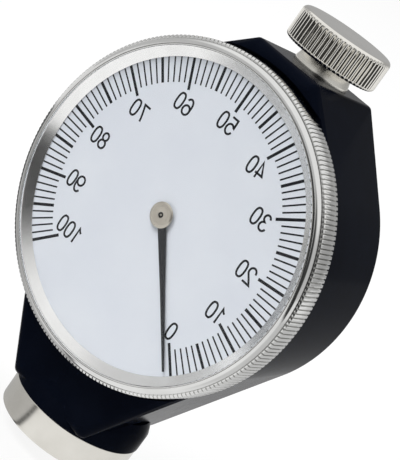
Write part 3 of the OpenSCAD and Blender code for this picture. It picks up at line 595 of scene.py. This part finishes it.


# Fine turned rings round the dial's axis: colour, with its painted shade in the dimple and painted
# highlight at its rim, and grain follow the distance from it
def hubTurned(name):
    mat, tree, shader, where = newFinish(name)
    shader.inputs["Metallic"].default_value = 1.0
    place = tree.nodes.new("ShaderNodeMapping")
    place.inputs["Location"].default_value = (-dialCentre[0] * mm, 0, -dialCentre[1] * mm)
    place.inputs["Scale"].default_value = (1, 0, 1)
    far = tree.nodes.new("ShaderNodeVectorMath")
    far.operation = "LENGTH"
    share = tree.nodes.new("ShaderNodeMapRange")
    share.inputs["From Max"].default_value = hub["radius"] * mm
    rings = tree.nodes.new("ShaderNodeTexNoise")
    rings.noise_dimensions = "1D"
    rings.inputs["Scale"].default_value = hubLook["rings"]
    rings.inputs["Detail"].default_value = hubLook["detail"]
    tree.links.new(where, place.inputs["Vector"])
    tree.links.new(place.outputs["Vector"], far.inputs[0])
    tree.links.new(far.outputs["Value"], share.inputs["Value"])
    tree.links.new(far.outputs["Value"], rings.inputs["W"])
    tint(tree, share.outputs["Result"], hubToneAndPaintedShade, shader.inputs["Base Color"])
    spread(tree, rings.outputs["Fac"], *hubLook["rough"], shader.inputs["Roughness"])
    bumpFrom(tree, rings.outputs["Fac"], hubLook["bump"], hubLook["height"], shader)
    return mat


hubTurn = evenTurn(hub["steps"])
dress(turned("pointerBoss", rounded(hubLine, hubEdges, 4, False), hubTurn, closed=False),
      "pointer", "pointer_hub", hubTurned("hubTurned"))
print("pointer done")


# Level by the compass direction of a vector, as a grey ramp over one turn
def roundLevel(tree, vector, levels):
    split = tree.nodes.new("ShaderNodeSeparateXYZ")
    compass = tree.nodes.new("ShaderNodeMath")
    compass.operation = "ARCTAN2"
    share = tree.nodes.new("ShaderNodeMapRange")
    share.inputs["From Min"].default_value = -math.pi
    share.inputs["From Max"].default_value = math.pi
    ramp = tree.nodes.new("ShaderNodeValToRGB")
    for azimuth, grey in levels[1:-1]:
        ramp.color_ramp.elements.new((azimuth + 180) / 360)
    for element, (azimuth, grey) in zip(ramp.color_ramp.elements, levels):
        element.position, element.color = (azimuth + 180) / 360, (grey, grey, grey, 1)
    tree.links.new(vector, split.inputs[0])
    tree.links.new(split.outputs["Y"], compass.inputs[0])
    tree.links.new(split.outputs["X"], compass.inputs[1])
    tree.links.new(compass.outputs[0], share.inputs["Value"])
    tree.links.new(share.outputs["Result"], ramp.inputs["Fac"])
    return ramp.outputs["Color"]


# Level that runs smoothly to another as value goes from low to high; each is a socket or a number
def fadeTo(tree, level, value, low, high, other):
    share = tree.nodes.new("ShaderNodeMapRange")
    share.interpolation_type = "SMOOTHSTEP"
    share.inputs["From Min"].default_value = low
    share.inputs["From Max"].default_value = high
    blend = tree.nodes.new("ShaderNodeMix")
    tree.links.new(value, share.inputs["Value"])
    tree.links.new(share.outputs["Result"], blend.inputs["Factor"])
    for side, grey in (("A", level), ("B", other)):
        if isinstance(grey, float):
            blend.inputs[side].default_value = grey
        else:
            tree.links.new(grey, blend.inputs[side])
    return blend.outputs["Result"]


# Floor: a disc of pale paper in mm; polished metal sees painted reflections on it, a glow in three
# zones whose edges are in metres
paleFloor = {"height": -2.8, "radii": (0, 300, 1000, 3000), "sides": 96, "paper": 0.93, "white": 0.85,
             "innerEdge": (0.06, 0.036), "nearEdge": (0.29, 0.22)}
# Each zone's levels by (azimuth in degrees, level), 0 to the right and 90 behind
innerRound = [(-180, 0.5), (-126, 0.58), (-115, 0.6), (-112, 0.1), (-108, 0.14), (-104, 1.0),
              (-60, 1.0), (40, 0.9), (120, 0.55), (180, 0.5)]
nearRound = [(-180, 0.04), (-166, 0.06), (-156, 0.5), (-130, 0.5), (-119, 1.0), (-58, 1.0),
             (-44, 0.72), (90, 0.62), (130, 0.5), (146, 0.5), (156, 0.06), (180, 0.04)]
farRound = [(-180, 0.95), (-132, 0.95), (-124, 0.6), (-117, 0.6), (-112, 0.04), (-32, 0.04),
            (-20, 0.95), (50, 0.95), (70, 0.6), (110, 0.6), (140, 0.95), (180, 0.95)]
floorTurn = evenTurn(paleFloor["sides"])[:, None]
floorRadii = np.array(paleFloor["radii"], float)[None]
floorPoints = np.stack([floorRadii * np.cos(floorTurn), floorRadii * np.sin(floorTurn),
                        np.full((len(floorTurn), floorRadii.size), paleFloor["height"])], -1)
floor = makePiece("paleFloor", floorPoints, gridFaces(len(floorTurn), floorRadii.size, True, False))
floorFinish = bpy.data.materials.new("whitePaperPaintedReflections")
floorFinish.use_nodes = True
floorTree = floorFinish.node_tree
floorTree.nodes.remove(floorTree.nodes["Principled BSDF"])
floorPath = floorTree.nodes.new("ShaderNodeLightPath")
paper = floorTree.nodes.new("ShaderNodeBsdfDiffuse")
paper.inputs["Color"].default_value = (*[paleFloor["paper"]] * 3, 1)
glow = floorTree.nodes.new("ShaderNodeEmission")
seen = floorTree.nodes.new("ShaderNodeMath")
seen.operation = "MULTIPLY"
seen.inputs[1].default_value = paleFloor["white"]
backdrop = floorTree.nodes.new("ShaderNodeMixShader")
floorTree.links.new(floorPath.outputs["Is Camera Ray"], seen.inputs[0])
floorTree.links.new(seen.outputs[0], backdrop.inputs[0])
floorTree.links.new(paper.outputs[0], backdrop.inputs[1])
floorTree.links.new(glow.outputs[0], backdrop.inputs[2])
floorSpot = floorTree.nodes.new("ShaderNodeTexCoord").outputs["Object"]
floorFar = floorTree.nodes.new("ShaderNodeVectorMath")
floorFar.operation = "LENGTH"
floorTree.links.new(floorSpot, floorFar.inputs[0])
farLevel, nearLevel, innerLevel = (roundLevel(floorTree, floorSpot, levels)
                                   for levels in (farRound, nearRound, innerRound))
fromMiddle = floorFar.outputs["Value"]
outerLevel = fadeTo(floorTree, farLevel, fromMiddle, *paleFloor["nearEdge"], nearLevel)
floorLevel = fadeTo(floorTree, outerLevel, fromMiddle, *paleFloor["innerEdge"], innerLevel)
# painted reflections: the floor glows at these levels for glossy rays only, dark and light by azimuth
# and distance
mirrored = floorTree.nodes.new("ShaderNodeEmission")
shine = floorTree.nodes.new("ShaderNodeMixShader")
floorTree.links.new(floorLevel, mirrored.inputs["Strength"])
floorTree.links.new(floorPath.outputs["Is Glossy Ray"], shine.inputs[0])
floorTree.links.new(backdrop.outputs[0], shine.inputs[1])
floorTree.links.new(mirrored.outputs[0], shine.inputs[2])
floorTree.links.new(shine.outputs[0], floorTree.nodes["Material Output"].inputs["Surface"])
floor.data.materials.append(floorFinish)

# Sky: plain light on the object and white behind it
# Polished metal sees grey round the sides, white above, and a dark place towards the front right
tentSky = {"ambient": 0.5, "sideTop": 0.42, "whiteFrom": 0.62, "darkPlace": (0.4981, -0.8627, 0.0872),
           "dark": 0.05, "darkTo": 0.984, "clearFrom": 0.85}
skyRound = [(-180, 0.62), (20, 0.62), (60, 0.42), (140, 0.42), (170, 0.62), (180, 0.62)]
world = bpy.data.worlds.new("studio")
bpy.context.scene.world = world
world.use_nodes = True
skyTree = world.node_tree
sky = skyTree.nodes["Background"]
sky.inputs["Color"].default_value = (1, 1, 1, 1)
skyPath = skyTree.nodes.new("ShaderNodeLightPath")
heading = skyTree.nodes.new("ShaderNodeTexCoord").outputs["Generated"]
headSplit = skyTree.nodes.new("ShaderNodeSeparateXYZ")
skyTree.links.new(heading, headSplit.inputs[0])
tentWall = fadeTo(skyTree, roundLevel(skyTree, heading, skyRound), headSplit.outputs["Z"],
                  tentSky["sideTop"], tentSky["whiteFrom"], 1.0)
toDark = skyTree.nodes.new("ShaderNodeVectorMath")
toDark.operation = "DOT_PRODUCT"
toDark.inputs[1].default_value = tentSky["darkPlace"]
skyTree.links.new(heading, toDark.inputs[0])
mirroredSky = fadeTo(skyTree, tentWall, toDark.outputs["Value"],
                     tentSky["clearFrom"], tentSky["darkTo"], tentSky["dark"])
either = skyTree.nodes.new("ShaderNodeMath")
either.operation = "MAXIMUM"
plain = skyTree.nodes.new("ShaderNodeMapRange")
plain.inputs["To Min"].default_value = tentSky["ambient"]
plain.inputs["To Max"].default_value = 1.0
skyLevel = skyTree.nodes.new("ShaderNodeMix")
skyTree.links.new(skyPath.outputs["Is Camera Ray"], either.inputs[0])
skyTree.links.new(skyPath.outputs["Is Transmission Ray"], either.inputs[1])
skyTree.links.new(either.outputs[0], plain.inputs["Value"])
skyTree.links.new(skyPath.outputs["Is Glossy Ray"], skyLevel.inputs["Factor"])
skyTree.links.new(plain.outputs["Result"], skyLevel.inputs["A"])
skyTree.links.new(mirroredSky, skyLevel.inputs["B"])
skyTree.links.new(skyLevel.outputs["Result"], sky.inputs["Strength"])

lamps = {"keySoftbox": {"place": (-0.7, -0.8, 1.1), "size": 0.7, "watts": 15},
         "topSoftbox": {"place": (0.3, 0.3, 1.3), "size": 0.9, "watts": 9}}
lampTarget = (0, 0, 0.04)


# Soft lamp: a square light turned to face a point
def softLamp(name, place, size, watts):
    light = bpy.data.lights.new(name, "AREA")
    light.shape = "SQUARE"
    light.size = size
    light.energy = watts
    lamp = bpy.data.objects.new(name, light)
    turn = (Vector(lampTarget) - Vector(place)).to_track_quat("-Z", "Y")
    lamp.matrix_world = Matrix.Translation(place) @ turn.to_matrix().to_4x4()
    lamp.visible_glossy = lamp.visible_transmission = False
    bpy.context.scene.collection.objects.link(lamp)


for lampName, lamp in lamps.items():
    softLamp(lampName, **lamp)

# Camera: its place and its three directions, fitted to the scale's marks in the photograph
view = {"place": (0.13648, -0.25896, 0.11873), "right": (0.65452, 0.50867, 0.55933),
        "up": (-0.60490, -0.09146, 0.79103), "ahead": (-0.45353, 0.85609, -0.24783),
        "lens": 140.22, "sensor": 36.0, "nearest": 0.01}
cameraData = bpy.data.cameras.new("photoCamera")
cameraData.sensor_fit = "AUTO"
cameraData.sensor_width = view["sensor"]
cameraData.lens = view["lens"]
cameraData.clip_start = view["nearest"]
camera = bpy.data.objects.new("photoCamera", cameraData)
axes = Matrix((view["right"], view["up"], [-v for v in view["ahead"]])).transposed()
camera.matrix_world = Matrix.Translation(view["place"]) @ axes.to_4x4()
bpy.context.scene.collection.objects.link(camera)
bpy.context.scene.camera = camera
bpy.context.scene.view_settings.view_transform = "Standard"
print("stage done")
